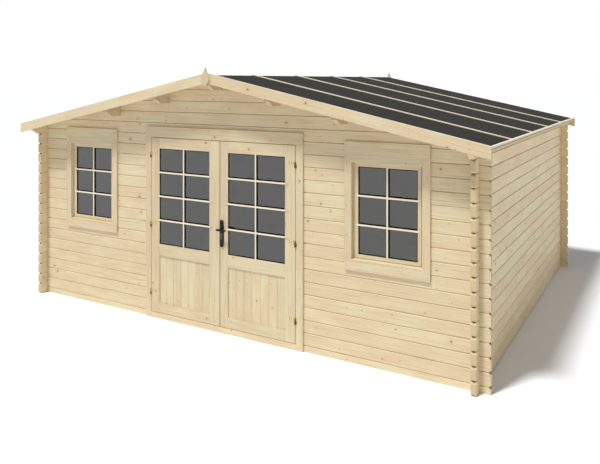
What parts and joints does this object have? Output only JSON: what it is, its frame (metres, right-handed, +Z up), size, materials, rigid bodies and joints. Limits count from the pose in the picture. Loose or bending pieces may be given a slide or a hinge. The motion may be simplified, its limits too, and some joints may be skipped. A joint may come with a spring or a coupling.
{
  "type": "log cabin",
  "caption": "Garden log cabin with interlocked corner logs, a low gabled felt roof, glazed double doors with a lever handle, and barred windows.",
  "frame": {"origin": "middle of the footprint, on the ground", "axes": "+X along the front wall to the right as seen from outside, +Y from the front wall to the back, +Z up"},
  "size_m": [5.29, 4.5352, 2.5472],
  "materials": {
    "wall_logs": "planed, untreated",
    "roof_timber": "planed, untreated",
    "roof_trim": "planed, untreated",
    "joinery": "planed, untreated",
    "floor_timber": "planed, untreated",
    "pane_glass": "clear",
    "roofing_felt": "matt, mineral faced",
    "handle_black": "satin black",
    "hinge_brass": "satin"
  },
  "bodies": {
    "root": {"back_fascia": "roof_trim", "back_finial": "roof_trim", "back_gable": "wall_logs", "back_wall": "wall_logs", "door_casing": "joinery", "door_frame": "joinery", "door_sill": "joinery", "eaves_strips": "roof_trim", "floor_boards": "floor_timber", "floor_joists": "floor_timber", "frame_hinges": "hinge_brass", "front_base_log": "wall_logs", "front_fascia": "roof_trim", "front_finial": "roof_trim", "front_gable": "wall_logs", "front_wall_left": "wall_logs", "front_wall_right": "wall_logs", "left_wall": "wall_logs", "left_window_bars": "joinery", "left_window_casing": "joinery", "left_window_frame": "joinery", "left_window_glass": "pane_glass", "right_wall": "wall_logs", "right_window_bars": "joinery", "right_window_casing": "joinery", "right_window_frame": "joinery", "right_window_glass": "pane_glass", "roof_battens": "roof_trim", "roof_boards_left": "roof_timber", "roof_boards_right": "roof_timber", "roof_felt_left": "roofing_felt", "roof_felt_right": "roofing_felt", "roof_purlins": "roof_timber"},
    "left_door": {"left_door_frame": "joinery", "left_door_panel": "joinery", "left_door_glass": "pane_glass", "left_door_bars": "joinery", "left_door_hinges": "hinge_brass"},
    "right_door": {"right_door_frame": "joinery", "right_door_panel": "joinery", "right_door_glass": "pane_glass", "right_door_bars": "joinery", "right_door_hinges": "hinge_brass", "handle_plates": "handle_black"},
    "door_handle": {"door_handle": "handle_black"}
  },
  "joints": [
    {"name": "left_door_swing", "type": "hinge", "parent": "root", "child": "left_door", "pos_m": [-0.8575, -2.061, 0], "axis": [0, 0, -1], "range_deg": [0, 110]},
    {"name": "right_door_swing", "type": "hinge", "parent": "root", "child": "right_door", "pos_m": [0.8575, -2.061, 0], "axis": [0, 0, 1], "range_deg": [0, 110]},
    {"name": "handle_turn", "type": "hinge", "parent": "right_door", "child": "door_handle", "pos_m": [0.0415, -2.053, 1.003], "axis": [0, 1, 0], "range_deg": [0, 45], "stiffness_Nm_per_rad": 1.5, "springref_deg": -22.92}
  ]
}
